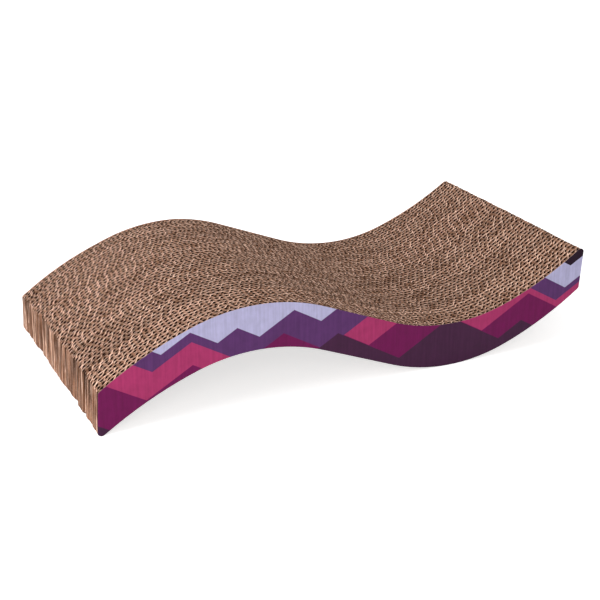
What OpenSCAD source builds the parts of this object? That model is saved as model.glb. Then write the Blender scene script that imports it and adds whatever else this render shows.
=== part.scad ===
// Wave-shaped cat scratcher made of corrugated board strips.
// The strips stand on edge and are glued face to face, so their flutes run from
// the scratching surface down to the floor. A printed card covers each long side.
// X runs along the length, Y across the strips and Z up. The origin is on the
// floor, under the middle of the part.

/* [Outline] */
// Overall length of every strip
length = 480; // [430:5:560]
// Height of a strip, measured straight down from its top edge
height = 41.2; // [30:0.2:60]
// Radius of the crest and of the valley
crest_r = 170; // [150:1:190]
// Slope of the straight stretch between crest and valley, in degrees
middle_slope = 21.75; // [20:0.25:24]
// Slope at which the crest hands over to the flatter end, in degrees
crest_slope = 20.75; // [17:0.25:21.5]
// Slope at the very end, in degrees
end_slope = 35.5; // [32:0.5:38]
// How far the end cuts lean out towards the acute corners, in degrees
end_lean = 4; // [0:0.5:6]
// Radius that eases the two acute corners
corner_r = 4; // [1:0.5:8]

/* [Corrugated board] */
// Number of strips glued side by side
strip_count = 51; // [2:1:58]
// Thickness of one board, liner to liner
board_t = 4.85; // [3:0.05:7]
// Thickness of a flat liner
liner_t = 0.3; // [0.2:0.05:0.6]
// Thickness of the fluted medium between the liners
medium_t = 0.3; // [0.2:0.05:0.5]
// Length of one flute wave
flute_pitch = 9.1; // [6:0.1:14]
// Glue line between a flute tip and its liner
glue_t = 0.03; // [0.02:0.01:0.06]

/* [Printed card] */
// Thickness of the printed card on each long side
card_t = 0.4; // [0.2:0.05:1]

/* [Hidden] */
// Steps of every full circle
$fn = 360;
// Overrun of every cutting shape past what it cuts
overrun = 1;
// Angle at which neighbouring arcs of the wave cross, too small to see
crossing = 0.8;
// How far neighbouring arcs of the wave reach past their crossing
lap = 3;
// Distance of a corner's easing circle from both faces, as a share of its radius
ease_share = 0.96;
// Least and most shift of a strip's flutes from the strip before, as shares of a flute
// wave. The strips are stacked as they come, so each shift between them is random
least_shift_share = -0.25;
most_shift_share = 0.4;
shift_seed = 5;

width = strip_count * board_t + 2 * card_t;

// An acute corner opens between the end cut and the strip's edge. The centre of
// its easing circle lies on the line that halves it, and the circle crosses both
// faces at a small angle. The lift and the loss are how far the easing's lowest and
// outermost points lie inside the corner.
corner_half_angle = (90 - end_lean - end_slope) / 2;
corner_heading = end_slope + corner_half_angle;
ease_run = ease_share * corner_r / sin(corner_half_angle);
ease_centre = ease_run * [cos(corner_heading), sin(corner_heading)];
corner_lift = ease_centre[1] - corner_r;
corner_loss = ease_centre[0] - corner_r * cos(max(0, acos(ease_share) - end_lean));

// The wave is point symmetric, so only its left half is worked out, from its middle
// to the left end. Its rise is such that the eased corner at that end stands level
// with the bottom of the valley.
left_end = -length / 2 - corner_loss;
leave_slope = middle_slope + crossing;
join_slope = crest_slope - crossing;
crest_run = crest_r * (sin(leave_slope) + sin(crest_slope));
crest_fall = crest_r * (1 - cos(crest_slope));
leave_fall = crest_r * (1 - cos(leave_slope));
end_grade = (cos(join_slope) - cos(end_slope)) / (sin(end_slope) - sin(join_slope));
wave_rise = (crest_fall + end_grade * (leave_fall / tan(middle_slope) - left_end - crest_run) - corner_lift)
    / (2 + end_grade / tan(middle_slope));
straight_end = [(leave_fall - wave_rise) / tan(middle_slope), wave_rise - leave_fall];
crest_centre = straight_end - crest_r * [sin(leave_slope), cos(leave_slope)];
join = crest_centre + crest_r * [-sin(crest_slope), cos(crest_slope)];
end_r = (join[0] - left_end) / (sin(end_slope) - sin(join_slope));
end_centre = join - end_r * [-sin(join_slope), cos(join_slope)];
middle_z = height + wave_rise;

flute_h = board_t - 2 * (liner_t + glue_t);
medium_band = medium_t / cos(atan2(flute_h, flute_pitch / 2));
tip_count = ceil(2 * length / flute_pitch) + 3;
shift_shares = rands(least_shift_share, most_shift_share, strip_count, shift_seed);
function total_shift(index) = index == 0 ? 0 : total_shift(index - 1) + shift_shares[index - 1];

function two_digits(number) = number < 10 ? str("0", number) : str(number);
STRIPS = [for (i = [1:strip_count]) str("corrugated_strip_", two_digits(i))];

// Left half of the wave's top, as two discs that are each cut to their own stretch
module arch() {
    intersection() {
        translate(crest_centre) circle(crest_r);
        translate([join[0] - lap, -length]) square([straight_end[0] - join[0] + 2 * lap, 2 * length]);
    }
    intersection() {
        translate(end_centre) circle(end_r);
        translate([left_end - overrun, -length]) square([join[0] - left_end + overrun + lap, 2 * length]);
    }
}

// Everything below the wave's top edge, down past the floor
module below_wave() {
    far_left = [left_end - overrun, -middle_z];
    near_left = straight_end + lap * [-1, tan(middle_slope)];
    difference() {
        union() {
            arch();
            polygon([[far_left[0], -length], [-far_left[0], -length], -far_left, -near_left, near_left, far_left]);
        }
        rotate(180) arch();
    }
}

// What the easing takes off an acute corner, drawn with the corner at its origin
module corner_cut() {
    reach = corner_r + overrun;
    face_foot = ease_centre + reach * [-cos(end_lean), sin(end_lean)];
    edge_foot = ease_centre + reach * [sin(end_slope), -cos(end_slope)];
    difference() {
        polygon([ease_centre, face_foot, -overrun * [1, 1], edge_foot]);
        translate(ease_centre) circle(corner_r);
    }
}

// Side outline of every strip, round the middle of the wave
module outline() {
    corner = [left_end, -wave_rise - corner_lift - height];
    lean = length * [tan(end_lean), 1];
    lower_left = corner - lean;
    upper_left = corner + 2 * lean;
    opposite = [0, -height];
    difference() {
        intersection() {
            below_wave();
            polygon([lower_left, opposite - upper_left, opposite - lower_left, upper_left]);
        }
        translate([0, -height]) below_wave();
        translate(corner) corner_cut();
        translate(opposite - corner) rotate(180) corner_cut();
    }
}

// A sheet with the strips' outline, from y to y + thickness
module sheet(y, thickness) {
    translate([0, y + thickness, middle_z]) rotate([90, 0, 0]) linear_extrude(thickness) outline();
}

// Plan of the fluted medium: a zigzag band whose tips stop a glue line short of the liners
module flutes(phase_share) {
    tips = [for (i = [0:tip_count])
        [(i - 2 + phase_share) * flute_pitch / 2 - length / 2, i % 2 == 0 ? 0 : flute_h - medium_band]];
    polygon(concat(tips, [for (i = [tip_count:-1:0]) tips[i] + [0, medium_band]]));
}

// One die-cut strip of single-wall board: two liners with the medium between
module corrugated_strip(index) {
    y = (index - 1) * board_t + card_t - width / 2;
    phase = 2 * (total_shift(index) - floor(total_shift(index)));
    color("burlywood") {
        sheet(y, liner_t);
        sheet(y + board_t - liner_t, liner_t);
        intersection() {
            sheet(y, board_t);
            translate([0, y + liner_t + glue_t, -overrun]) linear_extrude(2 * middle_z) flutes(phase);
        }
    }
}

module front_printed_card() {
    color("purple") sheet(-width / 2, card_t);
}

module rear_printed_card() {
    color("purple") sheet(width / 2 - card_t, card_t);
}

for (i = [1:strip_count]) {
    corrugated_strip(i);
}
front_printed_card();
rear_printed_card();
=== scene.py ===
import math
import random

import bmesh
import bpy
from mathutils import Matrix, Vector
from mathutils.bvhtree import BVHTree


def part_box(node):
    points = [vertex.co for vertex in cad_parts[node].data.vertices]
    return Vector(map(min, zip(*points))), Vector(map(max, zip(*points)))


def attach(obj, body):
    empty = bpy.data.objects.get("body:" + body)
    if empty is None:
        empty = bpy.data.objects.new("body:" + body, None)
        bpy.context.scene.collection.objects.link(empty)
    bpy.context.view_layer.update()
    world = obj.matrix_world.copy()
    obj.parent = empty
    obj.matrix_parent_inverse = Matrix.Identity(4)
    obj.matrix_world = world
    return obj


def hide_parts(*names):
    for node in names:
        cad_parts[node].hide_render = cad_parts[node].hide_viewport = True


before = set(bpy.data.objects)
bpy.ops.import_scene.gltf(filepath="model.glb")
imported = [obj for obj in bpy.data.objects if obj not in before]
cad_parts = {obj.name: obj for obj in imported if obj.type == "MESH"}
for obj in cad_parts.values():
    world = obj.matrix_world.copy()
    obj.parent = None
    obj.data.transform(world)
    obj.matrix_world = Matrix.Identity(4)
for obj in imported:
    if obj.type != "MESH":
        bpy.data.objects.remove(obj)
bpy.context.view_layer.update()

# Wave-shaped cat scratcher: strips of corrugated board and a printed card on each long side.
# Everything is in metres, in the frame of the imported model.

stripNames = sorted(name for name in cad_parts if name.startswith("corrugated_strip"))
print("frame loaded:", len(stripNames), "strips")


# small helpers for shader nodes

def feed(tree, socket, value):
    # a value is either another node's output or a plain number or colour
    if isinstance(value, bpy.types.NodeSocket):
        tree.links.new(value, socket)
    else:
        socket.default_value = value


def mathNode(tree, operation, *values):
    made = tree.nodes.new("ShaderNodeMath")
    made.operation = operation
    for socket, value in zip(made.inputs, values):
        feed(tree, socket, value)
    return made.outputs[0]


def blended(tree, first, second, share):
    # this share of the first value, and the rest of the second
    return mathNode(tree, "MULTIPLY_ADD", first, share, mathNode(tree, "MULTIPLY", second, 1 - share))


def scaledRange(tree, value, low, high, newLow, newHigh):
    made = tree.nodes.new("ShaderNodeMapRange")
    for name, number in (("From Min", low), ("From Max", high), ("To Min", newLow), ("To Max", newHigh)):
        made.inputs[name].default_value = number
    feed(tree, made.inputs["Value"], value)
    return made.outputs["Result"]


def mixColours(tree, share, first, second):
    # a Mix node lists its sockets for numbers and vectors before those for colours
    made = tree.nodes.new("ShaderNodeMix")
    made.data_type = "RGBA"
    feed(tree, made.inputs[0], share)
    feed(tree, made.inputs[6], first)
    feed(tree, made.inputs[7], second)
    return made.outputs[2]


def noise(tree, position, scale, detail, roughness):
    made = tree.nodes.new("ShaderNodeTexNoise")
    made.inputs["Scale"].default_value = scale
    made.inputs["Detail"].default_value = detail
    made.inputs["Roughness"].default_value = roughness
    feed(tree, made.inputs["Vector"], position)
    return made.outputs["Fac"]


def stretched(tree, position, factors):
    made = tree.nodes.new("ShaderNodeVectorMath")
    made.operation = "MULTIPLY"
    feed(tree, made.inputs[0], position)
    feed(tree, made.inputs[1], factors)
    return made.outputs[0]


def scaled(tree, vector, factor):
    made = tree.nodes.new("ShaderNodeVectorMath")
    made.operation = "SCALE"
    feed(tree, made.inputs[0], vector)
    feed(tree, made.inputs["Scale"], factor)
    return made.outputs[0]


def attribute(tree, name):
    made = tree.nodes.new("ShaderNodeAttribute")
    made.attribute_name = name
    return made.outputs["Fac"]


def objectPlace(tree):
    return tree.nodes.new("ShaderNodeTexCoord").outputs["Object"]


def fromPhotoColour(red, green, blue):
    # 0 to 255 as a picture shows it, by the sRGB curve to the linear values that a shader takes
    linear = []
    for part in (red, green, blue):
        share = part / 255
        linear.append(share / 12.92 if share <= 0.04045 else ((share + 0.055) / 1.055) ** 2.4)
    return (*linear, 1.0)


def newMaterial(name, specular):
    material = bpy.data.materials.new(name)
    material.use_nodes = True
    shader = material.node_tree.nodes["Principled BSDF"]
    shader.inputs["Specular IOR Level"].default_value = specular
    return material, material.node_tree, shader


def addBump(tree, shader, height, strength, distance):
    bump = tree.nodes.new("ShaderNodeBump")
    bump.inputs["Strength"].default_value = strength
    bump.inputs["Distance"].default_value = distance
    feed(tree, bump.inputs["Height"], height)
    tree.links.new(bump.outputs["Normal"], shader.inputs["Normal"])


# fibre grain, shared by every paper surface

grainSettings = {
    "fibreStretch": (0.35, 1.0, 0.8),  # fibres lie mostly across the flutes, so they are long in X
    "fibres": (1400.0, 3.0, 0.65),  # the noise's scale, detail and roughness
    "mottling": (140.0, 3.0, 0.6),
}


def makePaperGrain():
    group = bpy.data.node_groups.new("paperGrain", "ShaderNodeTree")
    fineness = group.interface.new_socket("Fineness", in_out="INPUT", socket_type="NodeSocketFloat")
    fineness.default_value = 1.0
    group.interface.new_socket("Fibres", in_out="OUTPUT", socket_type="NodeSocketFloat")
    group.interface.new_socket("Mottling", in_out="OUTPUT", socket_type="NodeSocketFloat")
    inputs = group.nodes.new("NodeGroupInput").outputs
    outputs = group.nodes.new("NodeGroupOutput").inputs
    place = scaled(group, objectPlace(group), inputs["Fineness"])
    fibrePlace = stretched(group, place, grainSettings["fibreStretch"])
    group.links.new(noise(group, fibrePlace, *grainSettings["fibres"]), outputs["Fibres"])
    group.links.new(noise(group, place, *grainSettings["mottling"]), outputs["Mottling"])
    return group


paperGrain = makePaperGrain()


def placeGrain(tree, fineness):
    grain = tree.nodes.new("ShaderNodeGroup")
    grain.node_tree = paperGrain
    grain.inputs["Fineness"].default_value = fineness
    return grain.outputs["Fibres"], grain.outputs["Mottling"]


# corrugated board's paper

kraftSettings = {
    "dark": fromPhotoColour(146, 102, 76),
    "light": fromPhotoColour(181, 135, 108),
    "deep": fromPhotoColour(24, 5, 0),  # well inside a flute, where little light comes back
    # cut edges: the cut fibre's own paler colour, made lighter still as painted highlight where the edges
    # catch the light from above
    "cutAndHighlightDark": fromPhotoColour(202, 156, 131),
    "cutAndHighlightLight": fromPhotoColour(247, 209, 187),
    "fibreShare": 0.5,  # of the pattern, and the rest is mottling
    "patternRange": (0.36, 0.64, 0.0, 1.0),
    "toneRange": (0.0, 1.0, 0.84, 1.12),
    "middleRange": (0.45, 0.8, 0.28, 1.0),  # from a slanting wall to a flute's middle, and their darkness
    "roughness": 0.85,
    "cutRoughness": 0.95,
    "fineness": 1.0,
    "cutFineness": 1.6,
    "specular": 0.25,
    "bump": (0.5, 0.00012),  # strength and distance
}


def makeKraft(name, dark, light, roughness, fineness, deep=None):
    material, tree, shader = newMaterial(name, kraftSettings["specular"])
    shader.inputs["Roughness"].default_value = roughness
    fibres, mottling = placeGrain(tree, fineness)
    pattern = blended(tree, fibres, mottling, kraftSettings["fibreShare"])
    colour = mixColours(tree, scaledRange(tree, pattern, *kraftSettings["patternRange"]), dark, light)
    if deep:
        # a flute is darkest in its middle, and its slanting walls still catch some light
        swing = mathNode(tree, "SINE", mathNode(tree, "MULTIPLY", attribute(tree, "turn"), 2 * math.pi))
        middle = scaledRange(tree, mathNode(tree, "ABSOLUTE", swing), *kraftSettings["middleRange"])
        shadow = mathNode(tree, "MULTIPLY", attribute(tree, "inside"), middle)
        colour = mixColours(tree, shadow, colour, deep)
    tone = scaledRange(tree, attribute(tree, "tone"), *kraftSettings["toneRange"])
    tree.links.new(scaled(tree, colour, tone), shader.inputs["Base Color"])
    addBump(tree, shader, fibres, *kraftSettings["bump"])
    return material


kraftWall = makeKraft("kraftWall", kraftSettings["dark"], kraftSettings["light"],
                      kraftSettings["roughness"], kraftSettings["fineness"], kraftSettings["deep"])
# rims of the board: painted highlight on top of the cut fibre's paler colour
kraftEdgeAndHighlight = makeKraft("paperCutEdgeAndHighlight", kraftSettings["cutAndHighlightDark"], kraftSettings["cutAndHighlightLight"],
                     kraftSettings["cutRoughness"], kraftSettings["cutFineness"])


# printed card: zigzag bands, every line at 30 degrees, sizes in millimetres from the left end

printSettings = {
    "card": "front_printed_card",  # the print is measured from this one's left end
    "slope": math.tan(math.radians(30)),
    "softness": 0.25,
    "plum": fromPhotoColour(111, 24, 80),  # what the bands are printed over
    # the bands in the order of printing: a colour, and the side of a zigzag line that it covers. A line
    # falls to its first turn (along, height), and then come the places of its other turns
    "bands": {
        "pink": {
            "colour": fromPhotoColour(170, 54, 103),
            "covers": "above",
            "firstTurn": (43.5, 24.5),
            "otherTurns": (85.0, 104.0, 175.5, 250.5, 303.0, 368.5, 418.0),
        },
        "purple": {
            "colour": fromPhotoColour(91, 52, 103),
            "covers": "above",
            "firstTurn": (49.5, 49.0),
            "otherTurns": (84.5, 132.5, 168.0, 203.5, 221.0, 225.0, 333.0, 449.5),
        },
        "aubergine": {
            "colour": fromPhotoColour(68, 34, 62),
            "covers": "below",
            "firstTurn": (73.5, -32.0),
            "otherTurns": (220.0, 281.5, 334.0, 387.0, 411.5),
        },
        "lavender": {
            "colour": fromPhotoColour(184, 180, 214),
            "covers": "above",
            "firstTurn": (57.5, 63.0),
            "otherTurns": (83.5, 107.5, 125.5, 145.5, 178.0, 203.5, 321.5, 459.0),
        },
        "corner": {
            "colour": fromPhotoColour(32, 12, 30),
            "covers": "above",
            "firstTurn": (463.5, 77.0),
            "otherTurns": (),
        },
    },
    # the upright streaks are painted shade of the card's ripple over the flutes
    "streakStretch": (1.0, 1.0, 0.06),
    "streaks": (420.0, 3.0, 0.6),  # the noise's scale, detail and roughness
    "streakShare": 0.6,  # of the shade, and the rest is mottling
    "shadeRange": (0.35, 0.65, 0.86, 1.14),
    "roughnessRange": (0.3, 0.7, 0.5, 0.62),
    "fineness": 1.0,
    "specular": 0.1,
    "bump": (0.15, 0.00006),  # strength and distance
    "edge": (fromPhotoColour(196, 168, 152), fromPhotoColour(128, 98, 98)),
    "edgeRoughness": 0.9,
    "edgeFineness": 1.6,
}


def aboveLine(tree, along, height, firstTurn, otherTurns):
    # a zigzag is its first slope plus one bend for each turn
    slope = printSettings["slope"]
    firstAlong, firstHeight = firstTurn
    way = -1
    lineHeight = mathNode(tree, "MULTIPLY_ADD", mathNode(tree, "SUBTRACT", along, firstAlong),
                          way * slope, firstHeight)
    for turn in (firstAlong, *otherTurns):
        way = -way
        past = mathNode(tree, "MAXIMUM", mathNode(tree, "SUBTRACT", along, turn), 0.0)
        lineHeight = mathNode(tree, "MULTIPLY_ADD", past, way * 2 * slope, lineHeight)
    gap = mathNode(tree, "SUBTRACT", height, lineHeight)
    softness = printSettings["softness"]
    return scaledRange(tree, gap, -softness / 2, softness / 2, 0.0, 1.0)


def inMillimetres(tree, value):
    return mathNode(tree, "MULTIPLY", value, 1000.0)


def makePrintedFace():
    material, tree, shader = newMaterial("printedFace", printSettings["specular"])
    place = objectPlace(tree)
    parts = tree.nodes.new("ShaderNodeSeparateXYZ")
    tree.links.new(place, parts.inputs[0])
    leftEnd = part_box(printSettings["card"])[0].x
    along = inMillimetres(tree, mathNode(tree, "SUBTRACT", parts.outputs["X"], leftEnd))
    height = inMillimetres(tree, parts.outputs["Z"])
    colour = printSettings["plum"]
    for band in printSettings["bands"].values():
        above = aboveLine(tree, along, height, band["firstTurn"], band["otherTurns"])
        if band["covers"] == "above":
            colour = mixColours(tree, above, colour, band["colour"])
        else:
            colour = mixColours(tree, above, band["colour"], colour)
    # faint upright streaks of painted shade stand in for the card's ripple over the flutes behind it
    streakPlace = stretched(tree, place, printSettings["streakStretch"])
    streaks = noise(tree, streakPlace, *printSettings["streaks"])
    fibres, mottling = placeGrain(tree, printSettings["fineness"])
    shade = blended(tree, streaks, mottling, printSettings["streakShare"])
    toned = scaled(tree, colour, scaledRange(tree, shade, *printSettings["shadeRange"]))
    tree.links.new(toned, shader.inputs["Base Color"])
    roughness = scaledRange(tree, mottling, *printSettings["roughnessRange"])
    tree.links.new(roughness, shader.inputs["Roughness"])
    addBump(tree, shader, fibres, *printSettings["bump"])
    return material


printedFace = makePrintedFace()
cardCut = makeKraft("cardCutEdge", *printSettings["edge"],
                    printSettings["edgeRoughness"], printSettings["edgeFineness"])
print("materials made")


# the cut outline, read from the card's own solid

outlineSettings = {
    "card": "front_printed_card",
    "endColumns": (0.00002, 0.0003, 0.0008, 0.0015, 0.0025, 0.004),  # from each end inwards
    "leastGap": 0.3,  # from these to the evenly spaced columns, as a share of the spacing
    "reach": 0.1,  # a ray starts this far off the card
    "nudge": 0.00001,  # and further in by this where it misses
    "endsStartAt": 0.16,  # from the middle, where a sheet's end begins to be set back
    "pressStartsAt": 0.08,  # and where it begins to be pressed down
    "endHeight": 0.045,
    "leastTall": 0.0001,
    "levelRoom": 2.5,  # levels move together where a sheet is lower than this many times their depth
    "frayRoom": 0.01,  # and frays get shorter where it is lower than this
    "openDepth": 0.0048,  # light comes in this far from the ends
    "swollenShade": 0.5,  # paper is thicker near the cut, up to this darkness
    "swollenEnd": 0.25,  # and up to this share of openDepth
}

cardLow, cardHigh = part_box(outlineSettings["card"])
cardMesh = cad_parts[outlineSettings["card"]].data
cardTree = BVHTree.FromPolygons([v.co for v in cardMesh.vertices],
                                [tuple(p.vertices) for p in cardMesh.polygons])


def cutAt(x):
    # bottom and top of the outline at this place along the length
    middleY = (cardLow.y + cardHigh.y) / 2
    above = cardHigh.z + outlineSettings["reach"]
    below = cardLow.z - outlineSettings["reach"]
    while True:
        down = cardTree.ray_cast(Vector((x, middleY, above)), Vector((0, 0, -1)))[0]
        up = cardTree.ray_cast(Vector((x, middleY, below)), Vector((0, 0, 1)))[0]
        if down is not None and up is not None:
            return up.z, down.z
        x -= math.copysign(outlineSettings["nudge"], x)


def columnsAlong(spacing):
    # places along the length, close together at both ends, where the outline turns its corners
    ends = outlineSettings["endColumns"]
    inner = cardHigh.x - ends[-1]
    middle = [-inner + spacing * i for i in range(int(2 * inner / spacing) + 1)]
    middle = [x for x in middle if abs(x) < inner - spacing * outlineSettings["leastGap"]]
    left = [cardLow.x + end for end in ends]
    return left + middle + [-x for x in reversed(left)]


def endShare(x, start):
    # 0 up to the start, growing to 1 at the right end
    return max(0.0, (x - start) / (cardHigh.x - start))


def settledCut(x, change):
    # bottom and top of a sheet that is raised, lowered and pressed down at its ends
    bottom, top = cutAt(x)
    bottom += change["raised"]
    pressed = change["pressedLeft"] * endShare(-x, outlineSettings["pressStartsAt"])
    pressed += change["pressedRight"] * endShare(x, outlineSettings["pressStartsAt"])
    return bottom, top - (change["lowered"] + pressed * (top - bottom) / outlineSettings["endHeight"])


def newForm():
    form = bmesh.new()
    for layer in ("tone", "inside", "turn"):
        form.verts.layers.float.new(layer)
    form.verts.layers.deform.verify()
    return form


def addSheet(form, columns, yAt, levels, change, inner=1.0, cut=1.0):
    # a grid is bent into one upright sheet of paper that fills the outline.
    # inner and cut are its thickness inside and at the cut, as shares of the thickest paper
    cuts = [settledCut(x, change) for x in columns]
    last = len(columns) - 1
    rows = [(True, *level) for level in levels] + [(False, *level) for level in reversed(levels)]
    grid = bmesh.ops.create_grid(form, x_segments=last, y_segments=len(rows) - 1, size=1)
    tone = form.verts.layers.float["tone"]
    inside = form.verts.layers.float["inside"]
    turn = form.verts.layers.float["turn"]
    weights = form.verts.layers.deform.active
    levelsTall = outlineSettings["levelRoom"] * levels[-1][0]
    for vertex in grid["verts"]:
        column = round((vertex.co.x + 1) / 2 * last)
        fromBottom, distance, shade = rows[round((vertex.co.y + 1) / 2 * (len(rows) - 1))]
        x = columns[column]
        bottom, top = cuts[column]
        tall = max(top - bottom, outlineSettings["leastTall"])
        distance *= min(1.0, tall / levelsTall)
        if distance == 0:
            distance = change["frayed"]() * min(1.0, tall / outlineSettings["frayRoom"])
        leftShare = endShare(-x, outlineSettings["endsStartAt"])
        rightShare = endShare(x, outlineSettings["endsStartAt"])
        setBack = change["leftIn"] * leftShare - change["rightIn"] * rightShare
        if not fromBottom:
            setBack -= change["topOut"] * leftShare * (top / outlineSettings["endHeight"]) ** 2
        vertex.co = (x + setBack, yAt(x), bottom + distance if fromBottom else top - distance)
        vertex[tone] = change["tone"]
        vertex[turn] = change["turn"](x)
        fromEnd = (cardHigh.x - abs(x) + abs(setBack)) / outlineSettings["openDepth"]
        vertex[inside] = min(shade, fromEnd)
        fromCut = min(shade / outlineSettings["swollenShade"], fromEnd / outlineSettings["swollenEnd"])
        vertex[weights][0] = inner + (cut - inner) * (1 - min(1.0, fromCut))


def finishPiece(form, name, nodeName, faceMaterial, edgeMaterial, thickness, backMaterial=None):
    mesh = bpy.data.meshes.new(name)
    form.to_mesh(mesh)
    form.free()
    piece = bpy.data.objects.new(name, mesh)
    bpy.context.scene.collection.objects.link(piece)
    mesh.materials.append(faceMaterial)
    mesh.materials.append(edgeMaterial)
    # half of the thickness goes to each side, the rim takes the second material and the back the third
    walls = piece.modifiers.new("paperThickness", "SOLIDIFY")
    walls.thickness = thickness
    walls.offset = 0.0
    walls.material_offset_rim = 1
    if backMaterial:
        mesh.materials.append(backMaterial)
        walls.material_offset = 2
    piece.vertex_groups.new(name="paperThickness")
    walls.vertex_group = "paperThickness"
    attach(piece, "root")
    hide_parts(nodeName)


# corrugated strips: two liners and a waved medium each

stripSettings = {
    "seed": 11,
    "paper": 0.0012,
    "liner": (0.3, 0.42),  # thickness inside and at the cut, as shares of paper
    "medium": (0.35, 0.75),
    "wave": 0.0091,
    "bluntness": 0.5,  # 0 is a plain sine, and more makes its tips broader
    "columnsPerWave": 10,
    "linerColumn": 0.006,
    "clear": 0.00003,
    "levels": ((0.0, 0.05), (0.00012, 0.9), (0.0005, 0.98), (0.003, 1.0)),  # distance and darkness
    "tipDepth": (0.000315, 0.000345),  # the solid flute's near tips lie this deep in a strip
    "leastIn": 0.0002,
    "stackPlay": 0.0012,  # strips lie in small stacks whose ends step in and out
    "stackChance": 0.4,
    "stripPlay": 0.0005,
    "slotIn": 0.0018,  # now and then a strip lies further in
    "slotChance": 0.14,
    "frontRightIn": 0.0026,  # the block is a little askew: its right end is set back at the front
    "rearLeftIn": (0.0006, 0.0003, 0.0004),  # what its last strips have instead, up to the rearmost
    "rearRightIn": (0.0005, 0.0005, 0.0006),
    "rearPressed": (0.005, 0.0015),  # towards the rear, strips are pressed down at the left and right end
    "rearTopOut": 0.002,  # and lean out at the top of the left end
    "heightPlay": 0.0006,
    "leastRaised": 0.0001,
    "fray": 0.00022,
    "wander": ((1.5, 0.04), (6.0, 0.025), (19.0, 0.02)),  # turns over the length, and shares of a wave
    "wanderPlay": (0.4, 1.0),
}


def smoothWave(turns):
    swing = math.sin(2 * math.pi * turns)
    bluntness = stripSettings["bluntness"]
    return swing * (1 + bluntness - bluntness * swing * swing)


def nearTip(nodeName, wave):
    # where the solid strip's flutes touch its near liner, as a share of a wave
    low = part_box(nodeName)[0]
    near, far = stripSettings["tipDepth"]
    angles = [2 * math.pi * v.co.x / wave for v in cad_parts[nodeName].data.vertices
              if near < v.co.y - low.y < far]
    return math.atan2(sum(map(math.sin, angles)), sum(map(math.cos, angles))) / (2 * math.pi)


def settledEnds(number, stackIn, draw):
    # how far a strip's ends are set back, leant out at the top and pressed down
    count = len(stripNames)
    leftIn = stripSettings["leastIn"] + stackIn + draw.uniform(0, stripSettings["stripPlay"])
    rightIn = stripSettings["leastIn"] + draw.uniform(0, stripSettings["stripPlay"])
    rightIn += stripSettings["frontRightIn"] * (1 - number / count)
    if draw.random() < stripSettings["slotChance"]:
        leftIn += stripSettings["slotIn"]
    fromRear = count - number
    if fromRear < len(stripSettings["rearLeftIn"]):
        leftIn = stripSettings["rearLeftIn"][-1 - fromRear]
        rightIn = stripSettings["rearRightIn"][-1 - fromRear]
    rearShare = max(0.0, 2 * number / count - 1)
    pressedLeft, pressedRight = stripSettings["rearPressed"]
    return {
        "leftIn": leftIn,
        "rightIn": rightIn,
        "topOut": stripSettings["rearTopOut"] * rearShare,
        "pressedLeft": pressedLeft * rearShare ** 2,
        "pressedRight": pressedRight * rearShare ** 2,
    }


def makeStrip(number, nodeName, stackIn, draw):
    low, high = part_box(nodeName)
    paper = stripSettings["paper"]
    linerPaper = paper * max(stripSettings["liner"])
    mediumPaper = paper * stripSettings["medium"][0]
    nearY = low.y + stripSettings["clear"] + linerPaper / 2
    farY = high.y - stripSettings["clear"] - linerPaper / 2
    middleY = (nearY + farY) / 2
    swing = (farY - nearY - linerPaper - mediumPaper) / 2
    change = {
        "lowered": draw.uniform(0, stripSettings["heightPlay"]),
        "raised": draw.uniform(stripSettings["leastRaised"], stripSettings["heightPlay"]),
        "frayed": lambda: draw.uniform(0, stripSettings["fray"]),
        "tone": draw.random(),
        **settledEnds(number, stackIn, draw),
    }
    wander = [(turns, share * draw.uniform(*stripSettings["wanderPlay"]), draw.random())
              for turns, share in stripSettings["wander"]]
    draw.random()  # nothing takes this one, but without it all frays after it would change

    # the wave's nearest place, a quarter turn before its start, comes to the solid's near tips
    wave = stripSettings["wave"]
    phase = -0.25 - nearTip(nodeName, wave)
    length = 2 * cardHigh.x

    def turnAt(x):
        moved = sum(share * math.sin(2 * math.pi * (turns * x / length + first))
                    for turns, share, first in wander)
        return x / wave + phase + moved

    def mediumY(x):
        return middleY + swing * smoothWave(turnAt(x))

    change["turn"] = turnAt
    form = newForm()
    levels = stripSettings["levels"]
    linerColumns = columnsAlong(stripSettings["linerColumn"])
    mediumColumns = columnsAlong(wave / stripSettings["columnsPerWave"])
    addSheet(form, linerColumns, lambda x: nearY, levels, change, *stripSettings["liner"])
    addSheet(form, mediumColumns, mediumY, levels, change, *stripSettings["medium"])
    addSheet(form, linerColumns, lambda x: farY, levels, change, *stripSettings["liner"])
    finishPiece(form, f"boardStrip{number:02d}", nodeName, kraftWall, kraftEdgeAndHighlight, paper)


stripDraw = random.Random(stripSettings["seed"])
stackIn = 0.0
for number, nodeName in enumerate(stripNames, start=1):
    if stripDraw.random() < stripSettings["stackChance"]:
        stackIn = stripDraw.uniform(0, stripSettings["stackPlay"])
    makeStrip(number, nodeName, stackIn, stripDraw)
print("strips made:", len(stripNames))


# printed cards

cardSettings = {
    "thickness": 0.00034,
    "ripple": 0.00006,
    "column": 0.00225,
    "levels": ((0.0, 0.0), (0.0012, 0.0), (0.005, 0.0)),  # distance and darkness, of which it has none
    "tone": 0.5,
    "front": {
        "outwards": -1,
        "leftIn": 0.0003,
        "rightIn": 0.0026,
        "topOut": 0.0,
        "pressedLeft": 0.0,
        "pressedRight": 0.0,
    },
    "rear": {
        "outwards": 1,
        "leftIn": 0.0004,
        "rightIn": 0.0006,
        "topOut": 0.002,
        "pressedLeft": 0.0052,
        "pressedRight": 0.0018,
    },
}


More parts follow.
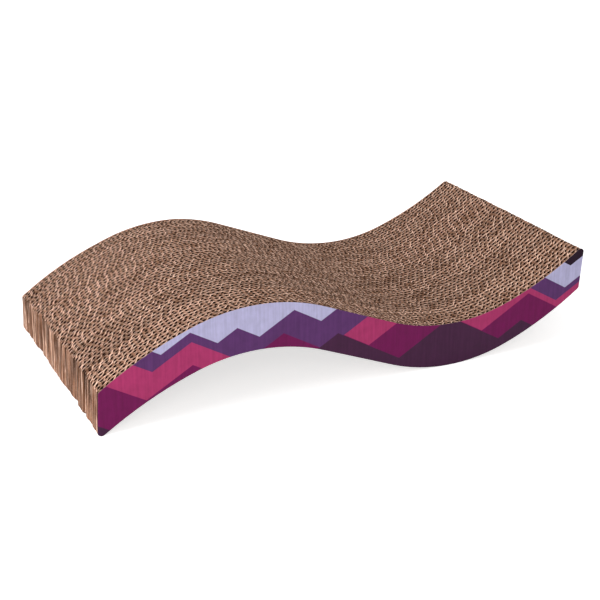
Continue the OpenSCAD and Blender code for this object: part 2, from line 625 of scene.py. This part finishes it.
def makeCard(name, nodeName, outwards, **ends):
    low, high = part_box(nodeName)
    middleY = (low.y + high.y) / 2
    change = {
        "lowered": 0.0,
        "raised": 0.0,
        "frayed": lambda: 0.0,
        "tone": cardSettings["tone"],
        "turn": lambda x: 0.0,
        **ends,
    }

    def rippledY(x):
        # the card sinks a little between the flute tips that it is glued to
        sunk = 0.5 - 0.5 * math.cos(2 * math.pi * x / stripSettings["wave"])
        return middleY - outwards * cardSettings["ripple"] * sunk

    form = newForm()
    addSheet(form, columnsAlong(cardSettings["column"]), rippledY, cardSettings["levels"], change)
    if outwards > 0:
        bmesh.ops.reverse_faces(form, faces=form.faces)
    finishPiece(form, name, nodeName, printedFace, cardCut,
                cardSettings["thickness"], kraftWall)


makeCard("frontPrintedCard", "front_printed_card", **cardSettings["front"])
makeCard("rearPrintedCard", "rear_printed_card", **cardSettings["rear"])
print("cards made")


# floor, light and camera

stageSettings = {
    "floorSize": 8.0,
    "floorColour": (0.8, 0.8, 0.8, 1.0),
    "floorRoughness": 1.0,
    "floorSpecular": 0.0,
    "glowRange": (0.35, 0.9, 0.66, 1.0),  # distances from the object's middle, and how bright the floor is
    "worldLight": (0.5, 1.0),  # on the object and behind it
    "white": (1.0, 1.0, 1.0, 1.0),
}


def seenByCamera(tree):
    path = tree.nodes.new("ShaderNodeLightPath")
    seen = mathNode(tree, "MAXIMUM", path.outputs["Is Camera Ray"], path.outputs["Is Glossy Ray"])
    return mathNode(tree, "MAXIMUM", seen, path.outputs["Is Transmission Ray"])


def makeFloor():
    form = bmesh.new()
    bmesh.ops.create_grid(form, x_segments=1, y_segments=1, size=stageSettings["floorSize"] / 2)
    mesh = bpy.data.meshes.new("floor")
    form.to_mesh(mesh)
    form.free()
    floor = bpy.data.objects.new("floor", mesh)
    bpy.context.scene.collection.objects.link(floor)
    material, tree, shader = newMaterial("paleFloor", stageSettings["floorSpecular"])
    shader.inputs["Roughness"].default_value = stageSettings["floorRoughness"]
    shader.inputs["Base Color"].default_value = stageSettings["floorColour"]
    shader.inputs["Emission Color"].default_value = stageSettings["white"]
    away = tree.nodes.new("ShaderNodeVectorMath")
    away.operation = "LENGTH"
    tree.links.new(objectPlace(tree), away.inputs[0])
    glow = scaledRange(tree, away.outputs["Value"], *stageSettings["glowRange"])
    seenGlow = mathNode(tree, "MULTIPLY", seenByCamera(tree), glow)
    tree.links.new(seenGlow, shader.inputs["Emission Strength"])
    mesh.materials.append(material)


def makeWorld():
    world = bpy.data.worlds.new("paleRoom")
    world.use_nodes = True
    bpy.context.scene.world = world
    tree = world.node_tree
    background = tree.nodes["Background"]
    background.inputs["Color"].default_value = stageSettings["white"]
    strength = scaledRange(tree, seenByCamera(tree), 0.0, 1.0, *stageSettings["worldLight"])
    tree.links.new(strength, background.inputs["Strength"])


lampSettings = {
    "overhead": {"place": (-0.55, 0.25, 1.4), "size": 1.0, "power": 8.2},
    "front": {"place": (-0.9, -1.5, 0.8), "size": 0.8, "power": 9.0},
    "side": {"place": (-1.5, -0.2, 0.7), "size": 0.8, "power": 13.0},
}


def makeLamp(name, place, size, power):
    light = bpy.data.lights.new(name, "AREA")
    light.energy = power
    light.size = size
    lamp = bpy.data.objects.new(name, light)
    lamp.location = place
    lamp.rotation_euler = (-Vector(place)).to_track_quat("-Z", "Y").to_euler()
    bpy.context.scene.collection.objects.link(lamp)


cameraSettings = {
    "place": (-0.48898, -1.04445, 0.49740),
    "azimuth": 25.153,
    "elevation": 21.839,
    "lens": 77.47,
    "sensor": 36.0,
}


def makeCamera():
    lens = bpy.data.cameras.new("productCamera")
    lens.lens = cameraSettings["lens"]
    lens.sensor_width = cameraSettings["sensor"]
    camera = bpy.data.objects.new("productCamera", lens)
    camera.location = cameraSettings["place"]
    camera.rotation_euler = (math.radians(90 - cameraSettings["elevation"]), 0,
                             -math.radians(cameraSettings["azimuth"]))
    bpy.context.scene.collection.objects.link(camera)
    bpy.context.scene.camera = camera


makeFloor()
makeWorld()
for name, lamp in lampSettings.items():
    makeLamp(name + "Lamp", **lamp)
makeCamera()
bpy.context.scene.view_settings.view_transform = "Standard"
print("stage set")
